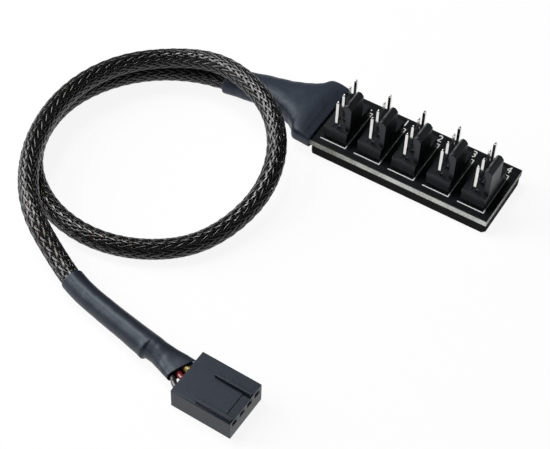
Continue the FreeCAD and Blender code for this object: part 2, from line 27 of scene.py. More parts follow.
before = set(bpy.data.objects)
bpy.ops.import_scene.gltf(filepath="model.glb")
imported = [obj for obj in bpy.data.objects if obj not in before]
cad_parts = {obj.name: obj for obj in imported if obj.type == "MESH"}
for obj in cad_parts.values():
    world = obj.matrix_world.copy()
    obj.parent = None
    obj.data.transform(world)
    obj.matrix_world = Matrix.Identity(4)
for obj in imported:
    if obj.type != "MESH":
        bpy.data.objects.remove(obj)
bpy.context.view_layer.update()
scene = bpy.context.scene
MM = 0.001
UP = Vector((0, 0, 1))


# Sizes that the pieces share, in millimetres: some read from the solids, the rest as the solids have them

def corners(node):
    """The lowest and the highest corner of the box round a solid."""
    points = [vertex.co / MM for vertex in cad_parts[node].data.vertices]
    axes = list(zip(*points))
    return Vector([min(axis) for axis in axes]), Vector([max(axis) for axis in axes])


def centre_of(node):
    low, high = corners(node)
    return (low + high) / 2


HEADERS = 5
WAYS = 4
FIRST_POST = centre_of("header_1_pin_1")
PIN_PITCH = centre_of("header_1_pin_2").y - FIRST_POST.y
HEADER_PITCH = centre_of("header_2_pin_1").x - FIRST_POST.x
ROW_Y = FIRST_POST.y + PIN_PITCH * (WAYS - 1) / 2
BOARD_TOP = corners("circuit_board")[1].z
BOARD_MIDDLE = centre_of("circuit_board").z
WIRE_NAMES = ("ground", "supply", "sense", "control")
WIRE_SIZE = 1.24
SLEEVE = 4.4
# Lengths that differ by less than this count as equal.
SAME = 0.01


# Camera, at the photograph's angle

TURN = math.radians(29.7)
RISE = math.radians(50.68)
ROLL = math.radians(2.3491)
RIGHT = Vector((math.cos(TURN), math.sin(TURN), 0))
TOWARD = Vector((math.sin(TURN), -math.cos(TURN), 0))
VIEW_CENTRE = Vector((-14.82, -29.96, 0.0))
VIEW_DISTANCE = 341.4
NEAREST_SEEN = 10.0
LENS = 106.43
SENSOR = 36


def set_camera():
    ahead = -TOWARD * math.cos(RISE) - UP * math.sin(RISE)
    up = RIGHT.cross(ahead)
    x = RIGHT * math.cos(ROLL) + up * math.sin(ROLL)
    y = up * math.cos(ROLL) - RIGHT * math.sin(ROLL)
    place = Matrix((x, y, -ahead)).transposed().to_4x4()
    place.translation = (VIEW_CENTRE - ahead * VIEW_DISTANCE) * MM
    lens = bpy.data.cameras.new("camera")
    lens.sensor_fit = "HORIZONTAL"
    lens.sensor_width = SENSOR
    lens.lens = LENS
    lens.clip_start = NEAREST_SEEN * MM
    camera = bpy.data.objects.new("camera", lens)
    camera.matrix_world = place
    scene.collection.objects.link(camera)
    scene.camera = camera


# Shader maths: sockets as values, and one method for every node

class Socket:
    """A node's output, on which arithmetic adds Math nodes."""

    def __init__(self, finish, output):
        self.finish = finish
        self.output = output

    def math(self, operation, *values):
        return self.finish.node("ShaderNodeMath", {"operation": operation}, dict(enumerate(values)))

    def __add__(self, other):
        return self.math("ADD", self, other)

    def __sub__(self, other):
        return self.math("SUBTRACT", self, other)

    def __rsub__(self, other):
        return self.math("SUBTRACT", other, self)

    def __mul__(self, other):
        return self.math("MULTIPLY", self, other)

    def __abs__(self):
        return self.math("ABSOLUTE", self)

    def sine(self):
        return self.math("SINE", self)

    __radd__ = __add__
    __rmul__ = __mul__


class Finish:
    """One material, built from its Principled shader outwards."""

    def __init__(self, name, **fixed):
        self.material = bpy.data.materials.new(name)
        self.material.use_nodes = True
        self.tree = self.material.node_tree
        self.shader = self.tree.nodes["Principled BSDF"]
        self.give(self.shader, {key.replace("_", " "): value for key, value in fixed.items()})

    def give(self, node, sockets):
        for key, value in sockets.items():
            if isinstance(value, Socket):
                self.tree.links.new(value.output, node.inputs[key])
            else:
                node.inputs[key].default_value = value

    def node(self, kind, settings=None, sockets=None, output=0):
        node = self.tree.nodes.new(kind)
        for key, value in (settings or {}).items():
            if key == "stops":
                for stop, (place, shade) in zip(self.stops(node, len(value)), value):
                    stop.position = place
                    stop.color = shade
            else:
                setattr(node, key, value)
        self.give(node, sockets or {})
        return Socket(self, node.outputs[output])

    @staticmethod
    def stops(node, count):
        elements = node.color_ramp.elements
        while len(elements) < count:
            elements.new(1.0)
        return elements

    def place(self, stretch=(1, 1, 1)):
        """Object coordinates, stretched along the axes."""
        coordinates = self.node("ShaderNodeTexCoord", output="Object")
        return self.node("ShaderNodeMapping", None, {"Vector": coordinates, "Scale": stretch})

    def part(self, vector, axis):
        return self.node("ShaderNodeSeparateXYZ", None, {0: vector}, output=axis)

    def strip(self):
        """The piece's own map: across in X and along in Y."""
        return self.node("ShaderNodeUVMap", {"uv_map": "strip"})

    def noise(self, scale, detail, where=None, roughness=0.5):
        sockets = {"Vector": where or self.place(), "Scale": scale, "Detail": detail, "Roughness": roughness}
        return self.node("ShaderNodeTexNoise", {"noise_dimensions": "3D"}, sockets)

    def ramp(self, factor, *stops):
        return self.node("ShaderNodeValToRGB", {"stops": stops}, {"Fac": factor})

    def step(self, value, low, high):
        """A smooth step from 0 to 1 between two values."""
        sockets = {"Value": value, "From Min": low, "From Max": high}
        return self.node("ShaderNodeMapRange", {"interpolation_type": "SMOOTHSTEP"}, sockets)

    def blend(self, factor, first, second):
        sockets = {0: factor, 6: first, 7: second}
        return self.node("ShaderNodeMix", {"data_type": "RGBA"}, sockets, output=2)

    def span(self, value, start, end):
        """A value from 0 to 1 carried to a value from start to end."""
        return value * (end - start) + start

    def bump(self, height, distance, strength):
        """Relief from heights between 0 and 1, with the distance in millimetres."""
        sockets = {"Height": height, "Distance": distance * MM, "Strength": strength}
        self.give(self.shader, {"Normal": self.node("ShaderNodeBump", None, sockets)})

    def paint(self, color, roughness):
        self.give(self.shader, {"Base Color": color, "Roughness": roughness})
        return self.material


def grey(level, tint=(1, 1, 1)):
    return (level * tint[0], level * tint[1], level * tint[2], 1)


COOL = (0.64, 0.80, 1.18)
COOL_SHINE = (0.80, 0.89, 1.0, 1.0)
TIN_TINT = (1, 0.99, 0.97)
# The mask's rim on the board's cut edge fades in between these distances from the board's middle.
RIM_START = 0.58
RIM_FULL = 0.76


def moulded(name, dark, light, rough, grain, shine):
    """Moulded nylon: a fine sparked skin, with slow changes of tone."""
    finish = Finish(name, Specular_IOR_Level=shine, Specular_Tint=COOL_SHINE)
    slow = finish.noise(scale=420, detail=2)
    fine = finish.noise(scale=6500, detail=3)
    finish.bump(fine + slow * 0.6, distance=grain, strength=0.5)
    return finish.paint(finish.blend(slow, dark, light), finish.span(fine, *rough))


def tinned(name, color, rough, marks):
    """Tin or solder: marks drawn out along Z, and a cloudy tone."""
    finish = Finish(name, Metallic=1.0)
    drawn = finish.noise(scale=5000, detail=3, where=finish.place((1, 1, 0.05)))
    cloud = finish.noise(scale=900, detail=2)
    finish.bump(drawn, distance=marks, strength=0.5)
    tone = finish.blend(cloud, color, grey(0.62, TIN_TINT))
    return finish.paint(tone, finish.span(drawn, *rough))


def board_finish():
    """Black solder mask over faint tracks, and the cut glass-fibre edge with the mask's rim along it."""
    finish = Finish("solder_mask_and_cut_edge", Specular_IOR_Level=0.25)
    normal = finish.node("ShaderNodeNewGeometry", output="True Normal")
    upright = abs(finish.part(normal, "Z"))
    off_middle = abs(finish.part(finish.place(), "Z") - BOARD_MIDDLE * MM)
    rim = finish.step(off_middle, RIM_START * MM, RIM_FULL * MM)
    cut = (1 - upright) * (1 - rim)
    cloth = finish.noise(scale=2400, detail=5, where=finish.place((1, 1, 2.2)), roughness=0.65)
    length = finish.noise(scale=55, detail=3, where=finish.place((1, 1, 0.1)), roughness=0.6)
    laminate = finish.ramp(
        cloth * 0.45 + length * 0.55,
        (0.36, (0.17, 0.17, 0.15, 1)),
        (0.48, (0.42, 0.43, 0.40, 1)),
        (0.60, (0.78, 0.79, 0.76, 1)),
    )
    tracks = finish.node(
        "ShaderNodeTexBrick",
        {"offset": 0.5, "squash": 1.0},
        {
            "Vector": finish.place(),
            "Scale": 160.0,
            "Mortar Size": 0.02,
            "Mortar Smooth": 0.3,
            "Brick Width": 0.9,
            "Row Height": 0.22,
        },
        output="Fac",
    )
    flow = finish.noise(scale=700, detail=3)
    mask = finish.blend(flow, grey(0.002), grey(0.006, COOL))
    relief = cut * cloth * 2 + (1 - cut) * (tracks * 0.35 + flow * 0.15)
    finish.bump(relief, distance=0.03, strength=0.7)
    gloss = finish.span(flow, 0.30, 0.44)
    return finish.paint(finish.blend(cut, mask, laminate), gloss * (1 - cut) + cut * 0.8)


def foam_finish():
    """Black foam: small cells, and no gloss."""
    finish = Finish("black_foam", Specular_IOR_Level=0.15)
    sockets = {"Vector": finish.place(), "Scale": 4200.0}
    cells = finish.node("ShaderNodeTexVoronoi", {"feature": "F1"}, sockets, output="Distance")
    soft = finish.noise(scale=1500, detail=3)
    finish.bump(cells + soft, distance=0.08, strength=0.8)
    return finish.paint(finish.blend(cells, grey(0.002), grey(0.008)), finish.span(soft, 0.75, 0.95))


def shrink_finish(name, dark, light, shine):
    """Heat-shrink: satin black, with soft ripples."""
    finish = Finish(name, Specular_IOR_Level=shine, Specular_Tint=COOL_SHINE)
    ripple = finish.noise(scale=520, detail=2)
    fine = finish.noise(scale=5200, detail=3)
    finish.bump(ripple + fine * 0.02, distance=0.10, strength=0.5)
    return finish.paint(finish.blend(ripple, dark, light), finish.span(fine, 0.36, 0.50))


def yarn_finish():
    """A flat yarn of two monofilaments side by side, black and glossy."""
    finish = Finish("braid_yarn", Specular_IOR_Level=0.60)
    across = finish.part(finish.strip(), "X")
    filaments = 2
    ridge = (across * (2 * math.pi * filaments) - math.pi / 2).sine()
    patchy = finish.noise(scale=700, detail=3)
    finish.bump(0.5 + 0.5 * ridge, distance=0.01, strength=0.2)
    tone = finish.blend(patchy, grey(0.0015), grey(0.005, (1, 0.98, 1.06)))
    return finish.paint(tone, finish.span(patchy, 0.30, 0.14))


def insulation(name, dark, light):
    """Extruded wire insulation: glossy, with a faint grain."""
    finish = Finish(name, Specular_IOR_Level=0.5, Coat_Weight=0.3, Coat_Roughness=0.1)
    cloud = finish.noise(scale=700, detail=2)
    grain = finish.noise(scale=3800, detail=2)
    finish.bump(grain, distance=0.01, strength=0.4)
    return finish.paint(finish.blend(cloud, dark, light), finish.span(cloud, 0.24, 0.36))


def ink_finish():
    """White printed ink, a little uneven."""
    finish = Finish("white_legend_ink", Specular_IOR_Level=0.3)
    worn = finish.noise(scale=4200, detail=3)
    finish.bump(worn, distance=0.01, strength=0.5)
    tone = finish.blend(worn, grey(0.55), grey(0.90, (1, 1, 0.98)))
    return finish.paint(tone, finish.span(worn, 0.5, 0.75))


header_nylon = moulded(
    "header_nylon",
    dark=grey(0.0035),
    light=grey(0.0085, (0.98, 1, 1.03)),
    rough=(0.32, 0.48),
    grain=0.02,
    shine=0.5,
)
plug_nylon = moulded(
    "plug_nylon",
    dark=grey(0.017, COOL),
    light=grey(0.027, COOL),
    rough=(0.30, 0.42),
    grain=0.03,
    shine=0.30,
)
tin = tinned("tin_plate", grey(0.86, TIN_TINT), rough=(0.06, 0.15), marks=0.004)
solder = tinned("solder", grey(0.70, (1, 1, 1.01)), rough=(0.22, 0.40), marks=0.01)
contact_tin = tinned("contact_tin", grey(0.72, (1, 0.98, 0.94)), rough=(0.25, 0.42), marks=0.01)
mask_and_edge = board_finish()
foam = foam_finish()
boot_shrink = shrink_finish("boot_shrink", grey(0.032, COOL), grey(0.052, COOL), shine=0.36)
tube_shrink = shrink_finish("tube_shrink", grey(0.016, COOL), grey(0.034, COOL), shine=0.45)
yarn = yarn_finish()
ink = ink_finish()
# The red, yellow and blue insulation colours are dimmed below the wires' own colours. This is painted shade,
# standing in for the shade that the braid and the plug's tube cast on the wires. The black wire keeps its own
# colour.
WIRE_COLORS = {
    "ground": insulation("black_insulation", grey(0.006), grey(0.012)),
    "supply": insulation("red_insulation_dimmed_as_painted_shade", (0.13, 0.004, 0.009, 1), (0.22, 0.008, 0.014, 1)),
    "sense": insulation("yellow_insulation_dimmed_as_painted_shade", (0.29, 0.21, 0.04, 1), (0.42, 0.32, 0.07, 1)),
    "control": insulation("blue_insulation_darkened_as_painted_shade", (0.004, 0.006, 0.03, 1), (0.008, 0.012, 0.06, 1)),
}


# Ways of making pieces

def deselect():
    if bpy.context.mode != "OBJECT":
        bpy.ops.object.mode_set(mode="OBJECT")
    bpy.ops.object.select_all(action="DESELECT")


def take(piece):
    """Make one piece the only one selected, and active."""
    deselect()
    piece.select_set(True)
    bpy.context.view_layer.objects.active = piece
    return piece


def settle(piece, slot, material, *nodes):
    """Give a finished piece its finish and its body, and hide the solids that it stands for."""
    piece.data.materials.clear()
    piece.data.materials.append(material)
    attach(piece, "root")
    if nodes:
        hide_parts(*nodes)
    return piece


def add(piece, name, kind, **settings):
    """Give a piece a modifier with these settings."""
    modifier = piece.modifiers.new(name, kind)
    for key, value in settings.items():
        setattr(modifier, key, value)


def apply_all(piece):
    take(piece)
    for modifier in list(piece.modifiers):
        bpy.ops.object.modifier_apply(modifier=modifier.name)


def new_piece(name, mesh):
    piece = bpy.data.objects.new(name, mesh)
    scene.collection.objects.link(piece)
    return piece


def copied(piece, name, shift):
    """A copy with a mesh of its own, moved by a shift in millimetres."""
    mesh = piece.data.copy()
    mesh.transform(Matrix.Translation(Vector(shift) * MM))
    return new_piece(name, mesh)


def smooth(piece, degrees):
    """Shade a piece smooth, except at edges sharper than an angle."""
    take(piece)
    bpy.ops.object.shade_smooth_by_angle(angle=math.radians(degrees))
    return piece


def outward(piece):
    """Turn all faces of a piece outwards."""
    take(piece)
    bpy.ops.object.mode_set(mode="EDIT")
    bpy.ops.mesh.select_all(action="SELECT")
    bpy.ops.mesh.normals_make_consistent(inside=False)
    bpy.ops.object.mode_set(mode="OBJECT")
    return piece


def from_solid(node, name):
    """A copy of a solid's mesh, with its loose triangles merged into faces."""
    piece = take(new_piece(name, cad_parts[node].data.copy()))
    bpy.ops.object.mode_set(mode="EDIT")
    bpy.ops.mesh.select_all(action="SELECT")
    bpy.ops.mesh.remove_doubles(threshold=1e-6)
    bpy.ops.mesh.dissolve_limited(angle_limit=math.radians(1.0))
    bpy.ops.object.mode_set(mode="OBJECT")
    return piece


MOULDED_EDGE = 0.07
POST_EDGE = 0.035


def softened(piece, width, segments=2):
    """Break a piece's edges as moulding and stamping leave them."""
    add(
        piece,
        "broken_edge",
        "BEVEL",
        width=width * MM,
        segments=segments,
        limit_method="ANGLE",
        angle_limit=math.radians(35),
        use_clamp_overlap=True,
    )
    apply_all(piece)
    smooth(piece, 40)
    add(piece, "flat_faces", "WEIGHTED_NORMAL", keep_sharp=True, weight=100)
    apply_all(piece)
    return piece


def skin(name, rings, caps=True):
    """A tube through rings of points, with or without caps on its ends."""
    count = len(rings[0])
    points = [point for ring in rings for point in ring]
    faces = []
    for r in range(len(rings) - 1):
        for i in range(count):
            j = (i + 1) % count
            faces.append((r * count + i, r * count + j, (r + 1) * count + j, (r + 1) * count + i))
    if caps:
        faces.append(tuple(reversed(range(count))))
        faces.append(tuple(range(len(points) - count, len(points))))
    mesh = bpy.data.meshes.new(name)
    mesh.from_pydata(points, [], faces)
    return outward(new_piece(name, mesh))


def uneven(place, coarse, fine, share):
    """Noise at two scales, of which the coarse one has a share."""
    return noise.noise(place * coarse) * share + noise.noise(place * fine) * (1 - share)


def gentle(share):
    """A share from 0 to 1, with a slow start and end."""
    return share * share * (3 - 2 * share)


# The lead: control points of its middle line

ROUTE = (
    (-31.0, -0.5, 3.257), (-42.0, -2.0, 3.081), (-52.5, -3.5, 2.289), (-61.5, -9.0, 2.289),
    (-68.0, -17.0, 2.289), (-71.5, -27.0, 2.289), (-70.5, -38.0, 2.289), (-65.5, -47.0, 2.289),
    (-56.0, -53.5, 2.289), (-45.0, -55.5, 2.289), (-34.5, -53.0, 2.289), (-25.5, -46.5, 2.421),
    (-21.0, -37.5, 2.993), (-19.5, -27.0, 4.314), (-22.0, -17.0, 6.207), (-28.0, -9.5, 8.584),
    (-37.5, -5.0, 9.420), (-47.0, -3.0, 8.188), (-56.0, -6.0, 6.999), (-64.0, -13.0, 6.999),
    (-68.5, -22.0, 6.999), (-69.5, -32.5, 6.999), (-67.0, -43.5, 6.999), (-61.5, -53.0, 6.999),
    (-55.0, -59.5, 6.603), (-47.0, -63.5, 4.094), (-38.5, -67.4, 2.993), (-28.2, -69.6, 2.905),
    (-17.6, -71.55, 2.905),
)
ROUTE_STEPS = 24


def spline_points(points, steps):
    """Points read from a smooth spline that has the given points as its control points."""
    curve = bpy.data.curves.new("route", "CURVE")
    curve.dimensions = "3D"
    curve.resolution_u = steps
    spline = curve.splines.new("NURBS")
    spline.points.add(len(points) - 1)
    for knot, point in zip(spline.points, points):
        knot.co = (*point, 1)
    spline.order_u = 3
    spline.use_endpoint_u = True
    holder = bpy.data.objects.new("route", curve)
    mesh = bpy.data.meshes.new_from_object(holder)
    found = [vertex.co.copy() for vertex in mesh.vertices]
    bpy.data.objects.remove(holder)
    bpy.data.curves.remove(curve)
    bpy.data.meshes.remove(mesh)
    return found


class Line:
    """A line of points that can be asked for its place, heading and sides at any distance."""

    def __init__(self, points):
        self.points = points
        self.at = [0.0]
        for a, b in zip(points, points[1:]):
            self.at.append(self.at[-1] + (b - a).length)
        self.length = self.at[-1]

    def point(self, distance):
        points, at = self.points, self.at
        if distance <= 0:
            return points[0] + (points[0] - points[1]).normalized() * -distance
        if distance >= self.length:
            return points[-1] + (points[-1] - points[-2]).normalized() * (distance - self.length)
        low, high = 0, len(at) - 1
        while high - low > 1:
            middle = (low + high) // 2
            low, high = (middle, high) if at[middle] <= distance else (low, middle)
        share = (distance - at[low]) / (at[high] - at[low])
        return points[low].lerp(points[high], share)

    def frame(self, distance, step=0.6 * MM):
        """The place at a distance, and the ways ahead, to the left and up from it."""
        ahead = (self.point(distance + step) - self.point(distance - step)).normalized()
        left = UP.cross(ahead).normalized()
        return self.point(distance), ahead, left, ahead.cross(left)


lead = Line(spline_points([Vector(p) * MM for p in ROUTE], ROUTE_STEPS))

# The braid is a two-over, two-under weave of yarns that wind each way round the lead. CELL is the length in
# which a yarn moves round by one place. YARN_TOP is the share of its height by which a yarn stands above its
# middle, with a little play, and YARN_SPREAD is how much wider it is where it lies on top.
YARNS = 16
CELL = 2.6
YARN_WIDTH = 0.49
YARN_SPREAD = 0.24
YARN_HEIGHT = 0.17
YARN_TOP = 0.55
WEAVE_DEPTH = 0.12
WEAVE_STEP = 0.4
YARN_SECTION = (
    (-0.5, 0.0), (-0.40, 0.42), (-0.20, 0.53), (0.20, 0.53), (0.40, 0.42), (0.5, 0.0), (0.0, -0.45),
)


def braid(name, hand):
    """Half of the braid: the yarns that wind one way, each passing under two of the others and over two."""
    count = int(lead.length / (WEAVE_STEP * MM))
    stations = [lead.frame(lead.length * k / count) for k in range(count + 1)]
    lay = math.atan(math.pi * SLEEVE / YARNS / CELL)
    middle = SLEEVE / 2 - YARN_HEIGHT * YARN_TOP - WEAVE_DEPTH
    size = len(YARN_SECTION)
    points = []
    faces = []
    for y in range(YARNS):
        base = len(points)
        for k, (centre, ahead, left, up) in enumerate(stations):
            along = lead.length / MM * k / count
            angle = 2 * math.pi * (y / YARNS + hand * along / (YARNS * CELL))
            out = left * math.cos(angle) + up * math.sin(angle)
            around = up * math.cos(angle) - left * math.sin(angle)
            sideways = around * math.cos(lay) - ahead * (hand * math.sin(lay))
            # A yarn crosses two others in each cell, and dips once for every four.
            phase = 2 * y + hand * 2 * along / CELL
            wave = math.cos(math.pi * (phase - 0.5) / 2) * hand
            ring = centre + out * ((middle + WEAVE_DEPTH * wave) * MM)
            width = YARN_WIDTH * (1 + YARN_SPREAD * wave)
            for across, height in YARN_SECTION:
                points.append(ring + sideways * (across * width * MM) + out * (height * YARN_HEIGHT * MM))
        for k in range(count):
            for i in range(size):
                j = (i + 1) % size
                a = base + k * size
                faces.append((a + i, a + size + i, a + size + j, a + j))
        faces.append(tuple(base + i for i in range(size)))
        faces.append(tuple(base + count * size + size - 1 - i for i in range(size)))
    mesh = bpy.data.meshes.new(name)
    mesh.from_pydata(points, [], faces)
    strip = []
    for loop in mesh.loops:
        vertex = loop.vertex_index
        strip += (YARN_SECTION[vertex % size][0] + 0.5, (vertex // size) % (count + 1) * WEAVE_STEP / 2)
    mesh.uv_layers.new(name="strip").data.foreach_set("uv", strip)
    return smooth(outward(new_piece(name, mesh)), 70)


# The four wires leave the board in a row, lie in a slowly turning bundle inside the braid, and fan out in
# the plug's tube. PAD_POINTS are the places along X at which a wire leaves its pad. Turns are in degrees,
# counted from the lead's left side towards its top, the twist is in degrees for each millimetre, and
# BUNDLE_STOP is how far the bundle ends before the sleeve does. FAN has each wire's shifts to the left and up
# at the distances in FAN_STATIONS past the sleeve's end. FAN_AT_PLUG has its place across the plug, just
# behind the plug's back, and CRIMP is where its end lies in the contact, as depths in the plug.
PAD_POINTS = (-23.2, -24.3, -25.6)
PAD_GAP = 0.03
WIRE_STEPS = 5
BUNDLE_REACH = 1.12
BUNDLE_POINTS = 56
BUNDLE_STOP = 2.0
BUNDLE_END_TURN = 14
BUNDLE_TWIST = 2.03
BUNDLE_START_TURN = 163
BUNDLE_START_LENGTH = 45.0
FAN_STATIONS = (2.2, 4.5, 8.0)
FAN = (
    ((-1.2, -0.3), (-1.75, 0.1), (-2.28, 0.5)),
    ((-0.45, 0.75), (-0.6, 0.5), (-0.76, 0.5)),
    ((0.75, 0.55), (0.65, 0.55), (0.76, 0.5)),
    ((0.9, -0.75), (1.7, -0.1), (2.28, 0.5)),
)
PLUG_PLACE = Vector((-8.0, -73.6, 0.0))
PLUG_TURN = math.radians(-1.5)
CONTACT_Z = 3.85
FAN_AT_PLUG = (-3.07, -1.02, 1.02, 2.55)
FAN_DROP = 0.1
BEHIND_PLUG = -0.9
CRIMP = (0.6, 3.3)


def in_plug(x, y, z):
    """A place given from under the middle of the plug's back: along the plug, across it and up."""
    return (Matrix.Rotation(PLUG_TURN, 3, "Z") @ Vector((x, y, z)) + PLUG_PLACE) * MM


def tube(name, path, radius, sides=14):
    line = Line(path)
    turns = [2 * math.pi * i / sides for i in range(sides)]
    rings = []
    for distance in line.at:
        centre, _, left, up = line.frame(distance)
        rings.append([centre + (left * math.cos(turn) + up * math.sin(turn)) * radius for turn in turns])
    return smooth(skin(name, rings), 60)


def wire(way):
    """One wire: from its pad on the board, through the braid and into its way of the plug."""
    row = (way - (WAYS - 1) / 2) * PIN_PITCH
    pad_z = BOARD_TOP + WIRE_SIZE / 2 + PAD_GAP
    knots = [Vector((x, -row, pad_z)) * MM for x in PAD_POINTS]
    last = lead.length - BUNDLE_STOP * MM
    for k in range(BUNDLE_POINTS + 1):
        distance = last * k / BUNDLE_POINTS
        centre, _, left, up = lead.frame(distance)
        near_board = max(0.0, 1 - distance / MM / BUNDLE_START_LENGTH)
        turn = BUNDLE_END_TURN + (2 - way) * 360 / WAYS + BUNDLE_TWIST * (lead.length - distance) / MM
        turn = math.radians(turn + BUNDLE_START_TURN * gentle(near_board))
        knots.append(centre + (left * math.cos(turn) + up * math.sin(turn)) * (BUNDLE_REACH * MM))
    end, ahead, left, up = lead.frame(lead.length)
    for past, (sideways, upward) in zip(FAN_STATIONS, FAN[way]):
        knots.append(end + (ahead * past + left * sideways + up * upward) * MM)
    knots.append(in_plug(BEHIND_PLUG, FAN_AT_PLUG[way], CONTACT_Z - FAN_DROP))
    knots += [in_plug(depth, row, CONTACT_Z) for depth in CRIMP]
    name = WIRE_NAMES[way]
    piece = tube(f"{name}_wire", spline_points(knots, WIRE_STEPS), WIRE_SIZE / 2 * MM)
    return settle(piece, f"wire_{name}", WIRE_COLORS[name], f"board_wire_{name}", f"plug_wire_{name}")


# Heat-shrink

SECTION_STEPS = 720
DOME_POWER = 2.4


def section(width, height, square, sides, dome=0.0):
    """Points spread evenly round a ring between an ellipse and a box, as shifts to the left and up in
    millimetres. Square is 2 for an ellipse and more for a box, and dome lowers the top towards its sides."""
    dense = []
    for i in range(SECTION_STEPS + 1):
        angle = 2 * math.pi * i / SECTION_STEPS
        c, s = math.cos(angle), math.sin(angle)
        x = math.copysign(abs(c) ** (2 / square), c)
        y = math.copysign(abs(s) ** (2 / square), s)
        if y > 0:
            y *= 1 - dome * abs(x) ** DOME_POWER
        dense.append(Vector((x * width / 2, y * height / 2, 0)))
    line = Line(dense)
    return [line.point(line.length * i / sides) for i in range(sides)]


def shrunk(name, rings, node, material, ripple, wall):
    """A shrunk tube: a thin open wall with the unevenness that heating leaves."""
    piece = skin(name, rings, caps=False)
    middles = [sum(ring, Vector()) / len(ring) for ring in rings]
    count = len(rings[0])
    for index, vertex in enumerate(piece.data.vertices):
        out = (vertex.co - middles[index // count]).normalized()
        height = uneven(vertex.co, coarse=330, fine=900, share=0.7)
        vertex.co += out * (height * ripple * MM)
    add(piece, "wall", "SOLIDIFY", thickness=wall * MM, offset=-1)
    add(piece, "finer", "SUBSURF", levels=1, render_levels=1)
    apply_all(piece)
    smooth(piece, 50)
    return settle(piece, "shrink", material, node)


def eased(table, at):
    """Values between the rows of a table, half eased from row to row, and the last row's past its end."""
    for low, high in zip(table, table[1:]):
        if low[0] <= at <= high[0]:
            share = (at - low[0]) / (high[0] - low[0])
            share = gentle(share) * 0.5 + share * 0.5
            return [a + (b - a) * share for a, b in zip(low[1:], high[1:])]
    return table[-1][1:]


# The boot: distance from its edge on the board, then Y, lowest and highest Z, width, squareness and dome
BOOT_EDGE_X = -19.15
BOOT = (
    (0.0, 0.0, 1.88, 4.62, 18.2, 14, 0.0),
    (1.0, 0.0, 1.88, 5.02, 18.2, 12, 0.07),
    (2.2, 0.0, 1.88, 5.54, 18.2, 10, 0.20),
    (3.3, 0.0, 1.88, 5.88, 18.2, 9, 0.30),
    (4.3, 0.0, 1.86, 6.03, 18.1, 8, 0.36),
    (4.9, 0.0, 1.80, 6.08, 17.0, 7, 0.35),
    (5.6, 0.0, 1.65, 6.13, 14.4, 5.5, 0.30),
    (7.2, 0.0, 1.28, 6.20, 12.1, 4.0, 0.20),
    (9.4, -0.05, 0.78, 6.18, 10.4, 3.0, 0.08),
    (12.0, -0.15, 0.42, 6.12, 8.8, 2.5, 0.0),
    (16.3, -0.55, 0.35, 6.02, 7.6, 2.3, 0.0),
    (20.8, -1.35, 0.26, 5.86, 6.8, 2.2, 0.0),
    (24.9, -2.2, 0.20, 5.72, 6.2, 2.1, 0.0),
)
BOOT_RINGS = 60
BOOT_SIDES = 72


def board_boot():
    rings = []
    for k in range(BOOT_RINGS + 1):
        at = BOOT[-1][0] * k / BOOT_RINGS
        y, low, high, width, square, dome = eased(BOOT, at)
        centre = Vector((BOOT_EDGE_X - at, y, (low + high) / 2))
        ring = section(width, high - low, square, BOOT_SIDES, dome)
        rings.append([(centre + Vector((0, p.x, p.y))) * MM for p in ring])
    return shrunk("board_boot", rings, "board_shrink", boot_shrink, ripple=0.10, wall=0.30)


# The plug's tube: distance from the sleeve's end, then width, height, shift to the left, lift, squareness and
# how far the mouth is cut askew there. MOUTH_LEFT, MOUTH_LOW and MOUTH_OUT are how far that cut takes the
# left side, the underside and the whole ring ahead.
PLUG_TUBE = (
    (-23.4, 5.00, 5.00, 0.0, 0.0, 2.0, 0.0),
    (-20.0, 4.95, 4.95, 0.0, 0.0, 2.0, 0.0),
    (-12.0, 5.00, 5.00, 0.0, 0.0, 2.0, 0.0),
    (-6.0, 5.20, 5.15, 0.0, 0.0, 2.0, 0.0),
    (-2.0, 5.45, 5.35, -0.05, 0.0, 2.0, 0.0),
    (-0.4, 5.70, 5.45, -0.15, 0.0, 2.0, 0.0),
    (0.0, 5.05, 5.10, 0.16, 0.12, 2.0, 0.0),
    (1.8, 4.90, 4.60, 0.18, 0.12, 2.1, 0.0),
    (4.0, 5.45, 3.75, 0.1, 0.2, 2.3, 0.0),
    (6.5, 6.30, 2.95, 0.05, 0.4, 2.7, 0.6),
    (8.0, 6.70, 2.60, 0.0, 0.5, 3.0, 1.0),
)
MOUTH_LEFT = 0.8
MOUTH_LOW = 0.5
MOUTH_OUT = 0.2
TUBE_RINGS = 150
TUBE_SIDES = 48


def plug_tube():
    rings = []
    first, last = PLUG_TUBE[0][0], PLUG_TUBE[-1][0]
    for k in range(TUBE_RINGS + 1):
        at = first + (last - first) * k / TUBE_RINGS
        width, height, shift, lift, square, askew = eased(PLUG_TUBE, at)
        centre, ahead, left, up = lead.frame(lead.length + at * MM)
        ring = []
        for p in section(width, height, square, TUBE_SIDES):
            aside = 2 * p.x / width
            below = max(0.0, -2 * p.y / height)
            reach = askew * (MOUTH_OUT + MOUTH_LEFT * aside + MOUTH_LOW * below)
            ring.append(centre + (UP * lift + left * (p.x + shift) + up * p.y + ahead * reach) * MM)
        rings.append(ring)
    return shrunk("plug_tube", rings, "plug_shrink", tube_shrink, ripple=0.05, wall=0.22)


# The plug's housing. The floor of the step between its rails is lifted, to the faint depth that shows.

STEP_FLOOR = 4.85
STEP_LIFT = 0.2


def plug_body():
    piece = from_solid("plug_housing", "plug_body")
    for vertex in piece.data.vertices:
        if abs(vertex.co.z - STEP_FLOOR * MM) < SAME * MM:
            vertex.co.z += STEP_LIFT * MM
    return softened(piece, MOULDED_EDGE)


# Foam under the board

FOAM_GRID = 0.35
FOAM_DIP = 0.07


